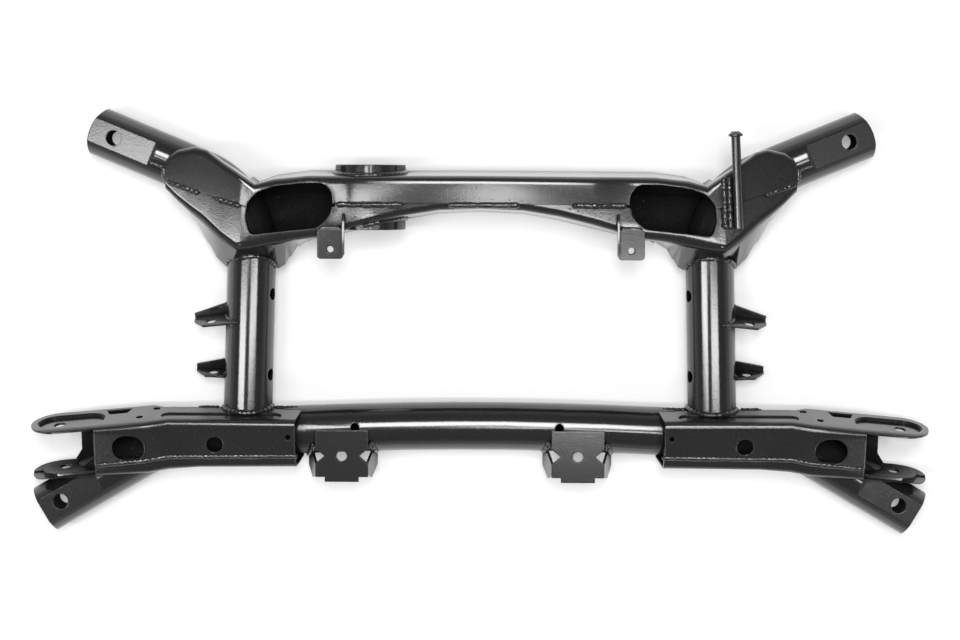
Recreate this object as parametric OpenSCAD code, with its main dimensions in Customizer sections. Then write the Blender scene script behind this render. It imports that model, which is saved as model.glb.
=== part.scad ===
// Rear suspension subframe: bent tubes, a pressed front beam and pressed link brackets, welded into one part.
// X runs across the vehicle, Y from the rear body bolts to the front ones, Z up from the plane the tubes lie on.

/* [Tubes] */
// Outside diameter of the frame tubes
tube_diameter = 60; // [59:0.25:60.5]
// Wall of the frame tubes
tube_wall = 3; // [2:0.25:4]
// Height of an arm end across its two pressed flats
arm_end_height = 52; // [50:0.5:54]
// Slope of the rear arms out of the cross tube
rear_arm_angle = 30.5; // [30:0.25:31]
// Slope of the front arms out of the side rails
front_arm_angle = 22.4; // [22:0.2:22.8]

/* [Body bolts] */
// Diameter of the four body bolt holes
body_hole_diameter = 18.5; // [14:0.5:20]
// Distance between the two rear body bolts
rear_bolt_spacing = 1036; // [1030:1:1042]
// Distance between the two front body bolts
front_bolt_spacing = 900; // [897:1:903]
// Distance from the rear body bolts to the front ones
bolt_row_spacing = 448; // [446:1:450]

/* [Pressed sheet] */
// Sheet thickness of the pressed shells and brackets
sheet = 3; // [2.5:0.25:3.25]
// Outside radius of the pressed bends
bend_radius = 9; // [8:0.5:10]
// Overlap of the two halves of a pressed box
lap = 12; // [9:1:14]

/* [Suspension bolts] */
// Diameter of the lower link bolt holes
link_hole_diameter = 14.5; // [12:0.5:16]
// Diameter of the upper link bolt holes
ear_hole_diameter = 12.5; // [10:0.5:14]
// Diameter of the differential bracket holes
drive_hole_diameter = 12.5; // [10:0.5:14]
// Outside diameter of the bush sleeve
sleeve_diameter = 86; // [82:0.5:87]
// Wall of the bush sleeve
sleeve_wall = 4; // [3:0.5:6]
// Lean of the lower link bolts out of the frame plane
link_lean = 14; // [13:0.5:15]
// Lean of the upper link bolts out of the frame plane
ear_lean = 21; // [20.5:0.5:22]

/* [Small parts] */
// Diameter of the exhaust hanger pin
pin_diameter = 11; // [9:0.5:12]
// Diameter of the threaded hole in a tab nut
nut_hole_diameter = 8; // [6:0.5:9]

/* [Hidden] */
$fn = 40;
// clearance left for the weld between two pieces that touch
weld_gap = 0.2;
// overshoot of a cutting tool past the face it opens
over = 1;
// length longer than any piece, for cutting tools
far = 700;
// wall lost on each face of a bent stretch of tube, and overlap of the stretches
bend_thinning = 0.05;
joint_overlap = 0.05;

// radius of the tubes and height of their axes
tube_r = tube_diameter / 2;
tube_z = tube_r;
seat_press = (tube_diameter - arm_end_height) / 2;
seat_z = seat_press;

// rear cross tube: bow of the middle, bends and arm runs
cross_mid_y = 93.7;
bow_radius = 4400;
bow_angle = 2.8;
cross_bend_radius = 110;
rear_bolt_x = rear_bolt_spacing / 2;
rear_end_reach = 25;
bow_end_x = bow_radius * sin(bow_angle);
bow_end_y = cross_mid_y - bow_radius * (1 - cos(bow_angle));
cross_turn = rear_arm_angle - bow_angle;
cross_to_corner = ((rear_bolt_x - bow_end_x) * sin(rear_arm_angle) - bow_end_y * cos(rear_arm_angle))
    / sin(cross_turn);
cross_corner_x = bow_end_x + cross_to_corner * cos(bow_angle);
cross_corner_y = bow_end_y - cross_to_corner * sin(bow_angle);
cross_tangent = cross_bend_radius * tan(cross_turn / 2);
cross_run = cross_to_corner - cross_tangent;
rear_arm_run = norm([rear_bolt_x - cross_corner_x, cross_corner_y]) - cross_tangent;

// side tubes: rail, bend and front arm
rail_foot_x = 289;
rail_foot_y = 88;
rail_splay = 1.5;
side_bend_radius = 100;
front_bolt_x = front_bolt_spacing / 2;
front_end_reach = 31;
front_end_radius = 55;
side_turn = 90 + rail_splay - front_arm_angle;
side_to_corner = ((bolt_row_spacing - rail_foot_y) * cos(front_arm_angle)
    - (front_bolt_x - rail_foot_x) * sin(front_arm_angle)) / sin(side_turn);
side_corner_x = rail_foot_x - side_to_corner * sin(rail_splay);
side_corner_y = rail_foot_y + side_to_corner * cos(rail_splay);
side_tangent = side_bend_radius * tan(side_turn / 2);
rail_run = side_to_corner - side_tangent;
front_arm_run = norm([front_bolt_x - side_corner_x, bolt_row_spacing - side_corner_y]) - side_tangent;

// pressed flats at the arm ends: length inboard of the bolt and length of the ramp
flat_reach = 50;
flat_ramp = 9;

// drain holes in the inner sides of the rails: distance along Y, diameter and lean towards +Z
rail_hole_rows = [157, 257];
rail_hole_diameter = 15;
rail_hole_lean = 20;

// small holes in the near side of the cross tube
cross_hole_places = [-154, 98];
cross_hole_y = 94;
cross_hole_diameter = 11;

// front beam: heights of the near face over the bush sleeve, at the openings and at the outer ends
beam_crown_z = sleeve_diameter + 9;
beam_window_z = beam_crown_z - 7;
beam_end_z = tube_diameter + 7;
// front beam: near face across the beam, from the middle outwards
near_face = [[0, beam_crown_z], [134, beam_crown_z], [160, beam_window_z], [292, beam_window_z], [386, beam_end_z]];
// front beam: edge lines across the beam, each a distance across and a distance from the front bolt line
top_near = [[0, -44], [211, -45], [252, -49], [275, -55], [298, -39], [315, -28], [334, -14], [348, -10],
    [370, -14], [380, -19], [386, -29]];
top_far = [[0, -37], [211, -37.5], [252, -43], [275, -52], [298, -36], [315, -25], [334, -11], [348, -7.5],
    [370, -12], [380, -17.5], [386, -28]];
seam_line = [[0, -77.5], [200, -77.5], [285, -82], [340, -66], [386, -50]];
low_near = [[0, -83], [51, -85], [95, -92], [134, -101.5], [160, -109], [190, -118], [210, -121], [237, -123],
    [251, -125], [279, -131], [298, -133.5], [316, -120.5], [338, -100.5], [356, -88], [370, -77.5], [386, -62]];
low_far = [[0, -87.7], [51, -90], [95, -97.5], [134, -107], [160, -113], [190, -120.5], [210, -123.5], [227, -132],
    [237, -145.5], [244, -156], [251, -159.5], [279, -158], [298, -157.5], [316, -157], [327, -146],
    [338, -127.5], [356, -99], [370, -78.5], [386, -62.5]];
// front beam: places across the beam where the shells are shaped
upper_places = [0, 134, 160, 211, 252, 275, 285, 292, 298, 315, 334, 348, 370, 380, 386];
lower_places = [0, 51, 95, 134, 160, 190, 210, 227, 237, 244, 251, 279, 292, 298, 316, 327, 338, 356, 370, 386];
beam_far_z = 4;
// front beam: lower edge of the skirts round the tubes, and where the skirts and the outer ends open below
skirt_z = tube_z;
skirt_open_x = 215;
skirt_row = -116;
gusset_x = 283;

// oval openings in the near face of the beam, given for the right-hand one
opening_corners = [[191, -53], [216, -53], [250, -57], [272, -64], [284, -77], [287, -96], [281, -117], [258, -114],
    [200, -108], [185, -95], [180, -80], [181, -64]];
opening_round = 6.5;
opening_lip = 13;

// bush sleeve through the beam
sleeve_x = -136;
sleeve_z = sleeve_diameter / 2 + weld_gap;
sleeve_front = -31;
sleeve_length = 79;

// link brackets: pivot line of the lean, reach, plate lines and near web heights
link_pivot_y = 84;
link_start_x = 219;
link_slant = 9;
link_end_x = 553;
link_places = [link_start_x, 345, 382, 407, link_end_x];
link_top = [[link_start_x, 33], [395, 33], [link_end_x, 18]];
link_bottom = [[link_start_x, -30], [345, -31], [407, -36], [link_end_x, -47]];
link_web = [[link_start_x, 49], [382, 49], [407, 56], [link_end_x, 56]];
link_seam = [[link_start_x, -12], [382, -13.5], [link_end_x, -31]];
link_far_z = -1;
loop_far_z = -9;
loop_near_z = 56;
loop_start_x = 405;
link_step_x = 390;
loop_r = (loop_near_z - loop_far_z) / 2;
loop_x = link_end_x - loop_r;
loop_z = (loop_near_z + loop_far_z) / 2;
loop_arc_end = 80;
web_end_x = 472;
// link brackets: back wall of the loop, with a foot that flares out over the lower plate
back_end_x = 497;
back_foot = [9, 14];
// link bolt axis: place of the bolt and turn of the loop plates
link_bolt_x = 518;
loop_turn = atan((link_top[1][1] - link_top[2][1]) / (link_top[2][0] - link_top[1][0]));
dish_length = 84;
dish_width = 44;
dish_depth = 4;
dish_shift = -15;
// holes in the near web of the link brackets
web_oval_x = 430;
web_oval_y = -0.8;
web_oval_size = [39.5, 32];
web_round_x = 325;
web_round_y = 2;
web_round_diameter = 20;
web_small_x = 235;
web_small_y = 12;
web_small_diameter = 7;
// holes and bead in the top plate of the link brackets
plate_window = [[431, -3], [463, -3], [458, 12], [436, 12]];
plate_hole_places = [[418, 31], [400, 4]];
plate_hole_diameter = 9;
bead_x = [244, 392];
bead_z = 30;
bead_width = 20;
bead_depth = 2;

// upper link ears: place of the bolt, webs along it and outline of a web round the bolt
ear_x = 332;
ear_y = 222.5;
ear_z = 44;
ear_rows = [0, -69.6];
ear_back = [-21, -14];
ear_root = -36;
ear_tip = 22;
ear_tip_z = -6;
ear_shoulder = [10, 10];
ear_crest = 15;
ear_turn = [9, 0];
ear_flange_root = 15;
ear_flange_tip = 6;

// differential brackets on the cross tube
drive_places = [-170, 121];
drive_half = 32.5;
drive_top_y = 91;
drive_bottom_y = 27;
drive_notch = 11;
drive_notch_half = 9;
drive_tab_half = 21;
drive_tab_y = 33;
drive_hole_y = 59;
wing_flare = 16;
wing_rows = [31, 61];
wing_drop = 38;
wing_toe = 16;

// tabs under the beam
tab_x = 183;
tab_half = 16;
tab_rows = [-145, -108];
tab_hole_row = -133.5;
tab_hole_diameter = 9;
tab_round = 5;
fin_x = 163;
fin_top = -90;
fin_height = 9;
nut_r = 8;
nut_height = 7;

// exhaust hanger pin on the right-hand gusset
pin_x = 306;
pin_front = 6;
pin_length = 112;
pin_turn = 3;
pin_head_diameter = 17.5;
pin_head_height = 6;
pin_rim = 2.5;
pin_crown_diameter = 9;

// steps along a rounded corner and along a half circle
corner_steps = 4;
arc_steps = 12;

function unit(v) = v / norm(v);
function toward(p, q, d) = p + unit(q - p) * d;
function corner(a, p, b, r) = let (s = toward(p, a, r), e = toward(p, b, r))
    [for (i = [0 : corner_steps]) let (t = i / corner_steps)
        (1 - t) * (1 - t) * s + 2 * t * (1 - t) * p + t * t * e];
function turned(list) = [for (i = [len(list) - 1 : -1 : 0]) list[i]];
// corner b of the line a-b-c moved t to the inside of the bend
function inside(a, b, c, t) = let (u = unit(a - b), v = unit(c - b)) b + (u + v) * (t / abs(u[0] * v[1] - u[1] * v[0]));
// end p of the line p-q moved square to the line, as far as q moved to m
function square_end(p, q, m) = let (u = unit(q - p)) p + (m - q) - u * ((m - q) * u);
// section of a folded sheet with two bends
function channel(p, t, r) = let (
        q1 = inside(p[0], p[1], p[2], t),
        q2 = inside(p[1], p[2], p[3], t),
        q0 = square_end(p[0], p[1], q1),
        q3 = square_end(p[3], p[2], q2))
    concat([p[0]], corner(p[0], p[1], p[2], r), corner(p[1], p[2], p[3], r), [p[3]],
        turned(concat([q0], corner(q0, q1, q2, r - t), corner(q1, q2, q3, r - t), [q3])));
// section of a folded sheet with one bend
function angle_section(p, t, r) = let (
        q1 = inside(p[0], p[1], p[2], t),
        q0 = square_end(p[0], p[1], q1),
        q2 = square_end(p[2], p[1], q1))
    concat([p[0]], corner(p[0], p[1], p[2], r), [p[2]], turned(concat([q0], corner(q0, q1, q2, r - t), [q2])));
// closed outline grown by d, corners kept sharp; the outline runs clockwise
function grown(list, d) = let (n = len(list)) [for (i = [0 : n - 1])
    let (a = list[(i + n - 1) % n], b = list[i], c = list[(i + 1) % n],
        u = unit(b - a), v = unit(c - b), m = [-u[1], u[0]], k = [-v[1], v[0]])
    b + (m + k) * (d / (1 + m * k))];
function rounded(list, r) = let (n = len(list))
    [for (i = [0 : n - 1]) each corner(list[(i + n - 1) % n], list[i], list[(i + 1) % n], r)];
// points along an arc round c
function arc(c, r, from, to, steps) = [for (i = [0 : steps]) let (a = from + (to - from) * i / steps) c + r * [cos(a), sin(a)]];
// outline of an oval with straight sides, along X
function oval(length, width) = let (h = (length - width) / 2)
    concat(arc([h, 0], width / 2, -90, 90, arc_steps), arc([-h, 0], width / 2, 90, 270, arc_steps));
// places across the whole part from the places on one side
function both_sides(list) = concat([for (i = [len(list) - 1 : -1 : 1]) -list[i]], list);
function beam_row(line, x) = bolt_row_spacing + lookup(abs(x), line);
function near_z(x) = lookup(abs(x), near_face);

// skin over a row of sections, each section standing at its place along X
module skin(places, sections) {
    n = len(sections[0]);
    m = len(places);
    points = [for (i = [0 : m - 1]) for (p = sections[i]) [places[i], p[0], p[1]]];
    sides = [for (i = [0 : m - 2]) for (j = [0 : n - 1]) let (k = (j + 1) % n)
        let (a = i * n + j, b = i * n + k, c = (i + 1) * n + k, d = (i + 1) * n + j)
        each (j < n / 2 ? [[a, b, d], [b, c, d]] : [[a, b, c], [a, c, d]])];
    last = (m - 1) * n;
    caps = [for (j = [0 : n / 2 - 2]) let (k = n - 1 - j)
        each [[j, k - 1, j + 1], [j, k, k - 1], [last + j + 1, last + k - 1, last + j], [last + k - 1, last + k, last + j]]];
    polyhedron(points = points, faces = concat(sides, caps));
}

// solid straight core along +X
module run(r, length) {
    rotate([0, 90, 0]) cylinder(r = r, h = length);
}

// solid bent core from the origin along +X, turning towards -Y
module bend(r, radius, turn) {
    translate([0, -radius, 0]) rotate([0, 0, 90 - turn])
        rotate_extrude(angle = turn, $fn = 90) translate([radius, 0]) circle(r = r, $fn = 40);
}

// straight tube along +X
module tube_run(length) {
    difference() {
        translate([-joint_overlap, 0, 0]) run(tube_r, length + 2 * joint_overlap);
        translate([-over, 0, 0]) run(tube_r - tube_wall, length + 2 * over);
    }
}

// bent tube from the origin along +X, turning towards -Y
module tube_bend(radius, turn) {
    difference() {
        bend(tube_r - bend_thinning, radius, turn);
        bend(tube_r - tube_wall + bend_thinning, radius, turn);
    }
}

// straight tube along +X with its far end pressed flat round a bolt at the given distance
module tube_arm(bolt, reach) {
    difference() {
        difference() {
            translate([-joint_overlap, 0, 0]) run(tube_r, bolt + reach + joint_overlap);
            translate([bolt, 0, 0]) press(0);
        }
        difference() {
            translate([-over, 0, 0]) run(tube_r - tube_wall, bolt + reach + 2 * over);
            translate([bolt, 0, 0]) press(tube_wall);
        }
        translate([bolt, 0, -tube_r - over]) cylinder(d = body_hole_diameter, h = tube_diameter + 2 * over);
    }
}

// place what follows at the end of a bend
module after_bend(radius, turn) {
    translate([radius * sin(turn), radius * (cos(turn) - 1), 0]) rotate([0, 0, -turn]) children();
}

// starts of the straight run, the bend and the arm on the right-hand half of the cross tube
module at_cross_run() {
    translate([bow_end_x, bow_end_y, tube_z]) rotate([0, 0, -bow_angle]) children();
}

module at_cross_bend() {
    at_cross_run() translate([cross_run, 0, 0]) children();
}

module at_cross_arm() {
    at_cross_bend() after_bend(cross_bend_radius, cross_turn) children();
}

// starts of the rail, the bend and the arm of the right-hand side tube
module at_rail() {
    translate([rail_foot_x, rail_foot_y, tube_z]) rotate([0, 0, 90 + rail_splay]) children();
}

module at_side_bend() {
    at_rail() translate([rail_run, 0, 0]) children();
}

module at_side_arm() {
    at_side_bend() after_bend(side_bend_radius, side_turn) children();
}

// the piece that follows and its mirror image
module pair() {
    children();
    mirror([1, 0, 0]) children();
}

// solid core of the bowed middle of the cross tube
module bow_core(r) {
    translate([0, cross_mid_y - bow_radius, tube_z]) rotate([0, 0, 90 - bow_angle])
        rotate_extrude(angle = 2 * bow_angle, $fn = 500) translate([bow_radius, 0]) circle(r = r, $fn = 40);
}

// room for the tubes inside the pieces welded to them
module cross_bow_room() {
    bow_core(tube_r + weld_gap - bend_thinning);
}

module run_room(length) {
    translate([-joint_overlap, 0, 0]) run(tube_r + weld_gap, length + 2 * joint_overlap);
}

module cross_run_room() {
    at_cross_run() run_room(cross_run);
}

module cross_bend_room() {
    at_cross_bend() bend(tube_r + weld_gap - bend_thinning, cross_bend_radius, cross_turn);
}

module cross_arm_room() {
    at_cross_arm() run_room(rear_arm_run + rear_end_reach);
}

module rail_room() {
    at_rail() run_room(rail_run);
}

module side_bend_room() {
    at_side_bend() bend(tube_r + weld_gap - bend_thinning, side_bend_radius, side_turn);
}

module side_arm_room() {
    at_side_arm() run_room(front_arm_run);
}

// what the press takes off a tube core at an arm end; the bolt stands at the origin, the arm runs along +X
module press(depth) {
    half = tube_r + over;
    for (side = [0, 1]) mirror([0, 0, side]) translate([0, half, 0]) rotate([90, 0, 0])
        linear_extrude(2 * half) polygon([[-flat_reach - flat_ramp, tube_r - depth + flat_ramp / 2],
            [-flat_reach, arm_end_height / 2 - depth], [far, arm_end_height / 2 - depth], [far, tube_r + over],
            [-flat_reach - flat_ramp, tube_r + over]]);
}

module rear_cross_tube() {
    color("dimgray") difference() {
        union() {
            difference() {
                bow_core(tube_r - bend_thinning);
                bow_core(tube_r - tube_wall + bend_thinning);
            }
            pair() at_cross_run() tube_run(cross_run);
            pair() at_cross_bend() tube_bend(cross_bend_radius, cross_turn);
            pair() at_cross_arm() tube_arm(rear_arm_run, rear_end_reach);
        }
        for (x = cross_hole_places) translate([x, cross_hole_y, tube_z])
            cylinder(d = cross_hole_diameter, h = tube_r + over);
    }
}

// region that rounds off a front arm end
module front_end_round() {
    cylinder(r = front_end_radius, h = 2 * tube_diameter, center = true);
    translate([-far, -far / 2, -tube_diameter]) cube([far, far, 2 * tube_diameter]);
}

module side_tube() {
    at_side_bend() tube_bend(side_bend_radius, side_turn);
    at_side_arm() intersection() {
        tube_arm(front_arm_run, front_end_reach);
        translate([front_arm_run + front_end_reach - front_end_radius, 0, 0]) front_end_round();
    }
    difference() {
        at_rail() tube_run(rail_run);
        cross_run_room();
        translate([rail_foot_x, rail_foot_y - tube_diameter / 2, tube_z])
            cube([2 * tube_diameter, tube_diameter, 2 * tube_diameter], center = true);
        link_frame() translate([0, -far, link_far_z - weld_gap])
            cube([far, far + lookup(rail_foot_x, link_top) + weld_gap, far]);
        for (y = rail_hole_rows) translate([rail_foot_x - (y - rail_foot_y) * sin(rail_splay), y, tube_z])
            rotate([0, -90 + rail_hole_lean, 0]) cylinder(d = rail_hole_diameter, h = tube_r + over);
    }
}

module side_tube_right() {
    color("dimgray") side_tube();
}

module side_tube_left() {
    color("dimgray") mirror([1, 0, 0]) side_tube();
}

// prism of one beam opening, grown by d
module opening(d, z0, z1) {
    for (side = [0, 1]) mirror([side, 0, 0]) translate([0, bolt_row_spacing, z0]) linear_extrude(z1 - z0)
        polygon(rounded(grown(opening_corners, d), opening_round));
}

module sleeve_room() {
    translate([sleeve_x, bolt_row_spacing + sleeve_front, sleeve_z]) rotate([90, 0, 0])
        cylinder(d = sleeve_diameter + 2 * weld_gap, h = sleeve_length, $fn = 60);
}

// outer ends of the beam below a height, past a distance across and up to a distance along
module below(x, y, z) {
    for (side = [0, 1]) mirror([side, 0, 0]) translate([x, 0, -far + z]) cube([far, y, far]);
}

module front_upper_shell() {
    places = both_sides(upper_places);
    sections = [for (x = places) channel([[beam_row(seam_line, x), near_z(x)], [beam_row(top_near, x), near_z(x)],
        [beam_row(top_far, x), beam_far_z], [beam_row(seam_line, x), beam_far_z]], sheet, bend_radius)];
    z = lookup(opening_corners[0][0], near_face);
    color("dimgray") difference() {
        union() {
            skin(places, sections);
            intersection() {
                difference() {
                    opening(sheet, z - opening_lip, z - over);
                    opening(0, z - opening_lip - over, z);
                }
                translate([-far, bolt_row_spacing + seam_line[1][1], 0]) cube([2 * far, far, far]);
            }
        }
        opening(0, z - opening_lip - over, z + over);
        below(gusset_x, far, tube_diameter + over);
        pair() rail_room();
        pair() side_bend_room();
        pair() side_arm_room();
        sleeve_room();
    }
}

module front_lower_shell() {
    places = both_sides(lower_places);
    near = [for (x = places) near_z(x) - sheet - weld_gap / 2];
    reach = [for (i = [0 : len(places) - 1]) (near[i] - beam_far_z - sheet) / (near[i] - skirt_z)];
    sections = [for (i = [0 : len(places) - 1]) let (x = places[i], n = beam_row(low_near, x), f = beam_row(low_far, x))
        turned(channel([[beam_row(seam_line, x) + lap, near[i]], [n, near[i]],
            [n + (f - n) * reach[i], beam_far_z + sheet + weld_gap / 2],
            [beam_row(seam_line, x) + lap, beam_far_z + sheet + weld_gap / 2]], sheet, bend_radius))];
    z = lookup(opening_corners[0][0], near_face) - sheet;
    color("dimgray") difference() {
        union() {
            skin(places, sections);
            intersection() {
                difference() {
                    opening(sheet, z - opening_lip, z - over);
                    opening(0, z - opening_lip - over, z);
                }
                translate([-far, bolt_row_spacing + seam_line[2][1] - far, 0]) cube([2 * far, far, far]);
            }
        }
        opening(0, z - opening_lip - over, z + over);
        intersection() {
            opening(sheet + weld_gap, z - opening_lip - over, z + over);
            translate([-far, bolt_row_spacing + seam_line[2][1], 0]) cube([2 * far, far, far]);
        }
        below(skirt_open_x, bolt_row_spacing + skirt_row, skirt_z);
        below(gusset_x, far, skirt_z);
        pair() rail_room();
        pair() side_bend_room();
        pair() side_arm_room();
        sleeve_room();
    }
}

module bush_sleeve() {
    color("dimgray") translate([sleeve_x, bolt_row_spacing + sleeve_front, sleeve_z]) rotate([90, 0, 0]) difference() {
        cylinder(d = sleeve_diameter, h = sleeve_length, $fn = 60);
        translate([0, 0, -over]) cylinder(d = sleeve_diameter - 2 * sleeve_wall, h = sleeve_length + 2 * over, $fn = 60);
    }
}

// frame of the right-hand link bracket, leaning with the link bolts
module link_frame() {
    translate([0, link_pivot_y, tube_z]) rotate([link_lean, 0, 0]) children();
}

// plan of a link plate seen along the bolts, stood up along the local Y
module link_plan() {
    translate([0, far, 0]) rotate([90, 0, 0]) linear_extrude(2 * far)
        polygon(concat([[link_start_x + link_slant, loop_near_z + over], [link_start_x + over / 4, link_far_z],
            [link_step_x, link_far_z], [loop_start_x, loop_far_z]],
            arc([loop_x, loop_z], loop_r, -90, loop_arc_end, arc_steps),
            [[loop_x, loop_near_z + over]]));
}

// axis of the link bolt in the link frame, along the local Y
module at_link_bolt() {
    translate([link_bolt_x, lookup(link_bolt_x, link_top), loop_z]) rotate([0, 0, -loop_turn]) rotate([-90, 0, 0]) children();
}

// oval standing along the link bolt, from z0 to z1 along it
module dish_oval(grow, z0, z1) {
    translate([dish_shift, 0, z0]) linear_extrude(z1 - z0) polygon(oval(dish_length + 2 * grow, dish_width + 2 * grow));
}

// oval along the top plate of a link bracket, from y0 to y1 off its outer face
module bead_oval(grow, y0, y1) {
    translate([(bead_x[0] + bead_x[1]) / 2, link_top[0][1] + y0, bead_z]) rotate([-90, 0, 0])
        linear_extrude(y1 - y0) polygon(oval(bead_x[1] - bead_x[0] + 2 * grow, bead_width + 2 * grow));
}

// holes through the near web of a link bracket
module web_holes() {
    translate([web_round_x, web_round_y, 0]) cylinder(d = web_round_diameter, h = 2 * loop_near_z);
    translate([web_small_x, web_small_y, 0]) cylinder(d = web_small_diameter, h = 2 * loop_near_z);
    translate([web_oval_x, web_oval_y, loop_near_z / 2]) linear_extrude(loop_near_z)
        polygon(oval(web_oval_size[0], web_oval_size[1]));
}

module link_upper_shell() {
    top = [for (x = link_places) lookup(x, link_top)];
    sections = [for (i = [0 : len(link_places) - 1]) let (x = link_places[i], w = lookup(x, link_web))
        angle_section([[lookup(x, link_seam), w], [top[i], w], [top[i], loop_far_z - over]], sheet, bend_radius)];
    foot = sheet + weld_gap;
    difference() {
        link_frame() difference() {
            union() {
                difference() {
                    intersection() {
                        skin(link_places, sections);
                        link_plan();
                    }
                    at_link_bolt() dish_oval(0, -sheet - over, over);
                    bead_oval(0, -sheet - over, over);
                    translate([web_end_x, -far, loop_z]) linear_extrude(far) polygon([[0, 0], [far, 0],
                        [far, far + lookup(web_end_x, link_top) - sheet - tan(loop_turn) * far],
                        [0, far + lookup(web_end_x, link_top) - sheet]]);
                }
                at_link_bolt() difference() {
                    dish_oval(sheet / 2, -sheet - dish_depth, -sheet / 2);
                    dish_oval(-sheet / 2, -dish_depth, 0);
                }
                difference() {
                    bead_oval(sheet / 2, -sheet - bead_depth, -sheet / 2);
                    bead_oval(-sheet / 2, -bead_depth, 0);
                }
                translate([0, 0, loop_far_z]) linear_extrude(sheet)
                    polygon([[loop_start_x, lookup(loop_start_x, link_bottom) + foot],
                        [loop_start_x, lookup(loop_start_x, link_top) - sheet / 2],
                        [back_end_x, lookup(back_end_x, link_top) - sheet / 2],
                        [back_end_x, lookup(back_end_x, link_bottom) + foot + back_foot[1]],
                        [back_end_x + back_foot[0], lookup(back_end_x + back_foot[0], link_bottom) + foot]]);
            }
            at_link_bolt() cylinder(d = link_hole_diameter, h = 4 * dish_width, center = true);
            web_holes();
            translate([0, far, 0]) rotate([90, 0, 0]) linear_extrude(far) polygon(plate_window);
            for (p = plate_hole_places) translate([p[0], 0, p[1]]) rotate([-90, 0, 0])
                cylinder(d = plate_hole_diameter, h = far);
        }
        cross_run_room();
        cross_bend_room();
        cross_arm_room();
    }
}

module link_upper_shell_right() {
    color("dimgray") link_upper_shell();
}

module link_upper_shell_left() {
    color("dimgray") mirror([1, 0, 0]) link_upper_shell();
}

module link_lower_shell() {
    under = sheet + weld_gap / 2;
    sections = [for (x = link_places) let (w = lookup(x, link_web) - under, b = lookup(x, link_bottom))
        turned(angle_section([[lookup(x, link_seam) + lap, w], [b, w], [b, loop_far_z - over]], sheet, bend_radius))];
    fall = lookup(link_bolt_x, link_top) - lookup(link_bolt_x, link_bottom);
    difference() {
        link_frame() difference() {
            union() {
                difference() {
                    intersection() {
                        skin(link_places, sections);
                        link_plan();
                    }
                    at_link_bolt() dish_oval(0, -fall - over, -fall + sheet + over);
                    translate([web_end_x, lookup(web_end_x, link_bottom) + sheet, loop_z]) linear_extrude(far)
                        polygon([[0, 0], [far, -tan(loop_turn) * far], [far, far], [0, far]]);
                }
                at_link_bolt() difference() {
                    dish_oval(sheet / 2, -fall + sheet / 2, -fall + sheet + dish_depth);
                    dish_oval(-sheet / 2, -fall, -fall + dish_depth);
                }
            }
            at_link_bolt() cylinder(d = link_hole_diameter, h = 4 * dish_width + fall, center = true);
            web_holes();
        }
        cross_run_room();
        cross_bend_room();
        cross_arm_room();
    }
}

module link_lower_shell_right() {
    color("dimgray") link_lower_shell();
}

module link_lower_shell_left() {
    color("dimgray") mirror([1, 0, 0]) link_lower_shell();
}

// one ear of an upper link bracket: a web across the bolt and a flange along its far edge
module link_ear(i) {
    difference() {
        translate([ear_x, ear_y, ear_z]) rotate([ear_lean, 0, 0]) difference() {
            translate([0, ear_rows[i], 0]) rotate([0, 0, -ear_turn[i]]) {
                translate([0, sheet / 2, 0]) rotate([90, 0, 0]) linear_extrude(sheet)
                    polygon([[ear_root, ear_back[i]], [ear_tip, ear_back[i]], [ear_tip, ear_tip_z], ear_shoulder,
                        [ear_root, ear_crest]]);
                translate([0, 0, ear_back[i]]) linear_extrude(sheet)
                    polygon([[ear_root, -sheet / 2], [ear_tip, -sheet / 2], [ear_tip, ear_flange_tip],
                        [ear_root, ear_flange_root + sheet]]);
            }
            rotate([90, 0, 0]) cylinder(d = ear_hole_diameter, h = 4 * tube_diameter, center = true);
        }
        rail_room();
    }
}

module link_ear_front_right() {
    color("dimgray") link_ear(0);
}

module link_ear_front_left() {
    color("dimgray") mirror([1, 0, 0]) link_ear(0);
}

module link_ear_rear_right() {
    color("dimgray") link_ear(1);
}

module link_ear_rear_left() {
    color("dimgray") mirror([1, 0, 0]) link_ear(1);
}

// bracket for the differential: a notched plate with a wing folded back at each side
module drive_bracket(x) {
    difference() {
        translate([x, 0, tube_diameter + weld_gap]) {
            linear_extrude(sheet) difference() {
                polygon([[-drive_half, drive_top_y], [drive_half, drive_top_y],
                    [drive_half, drive_hole_y + drive_notch_half], [drive_half - drive_notch, drive_hole_y],
                    [drive_half, drive_hole_y - drive_notch_half], [drive_half, drive_tab_y], [drive_tab_half, drive_tab_y],
                    [drive_tab_half, drive_bottom_y], [-drive_tab_half, drive_bottom_y], [-drive_tab_half, drive_tab_y],
                    [-drive_half, drive_tab_y], [-drive_half, drive_hole_y - drive_notch_half],
                    [drive_notch - drive_half, drive_hole_y], [-drive_half, drive_hole_y + drive_notch_half]]);
                translate([0, drive_hole_y]) circle(d = drive_hole_diameter);
            }
            for (side = [0, 1]) mirror([side, 0, 0]) translate([drive_half, 0, sheet]) rotate([0, 90 - wing_flare, 0])
                translate([0, 0, -sheet]) linear_extrude(sheet)
                    polygon([[0, wing_rows[0] + 2 * sheet], [0, drive_hole_y - drive_notch_half], [wing_toe, wing_rows[1]],
                        [wing_drop, wing_rows[1] + wing_toe], [wing_drop, wing_rows[1] - wing_toe], [wing_toe, wing_rows[0]]]);
        }
        cross_bow_room();
    }
}

module drive_bracket_left() {
    color("dimgray") drive_bracket(drive_places[0]);
}

module drive_bracket_right() {
    color("dimgray") drive_bracket(drive_places[1]);
}

// height of the plane the beam tabs lie on
tab_z = lookup(tab_x, near_face) - sheet + weld_gap / 2;

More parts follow.
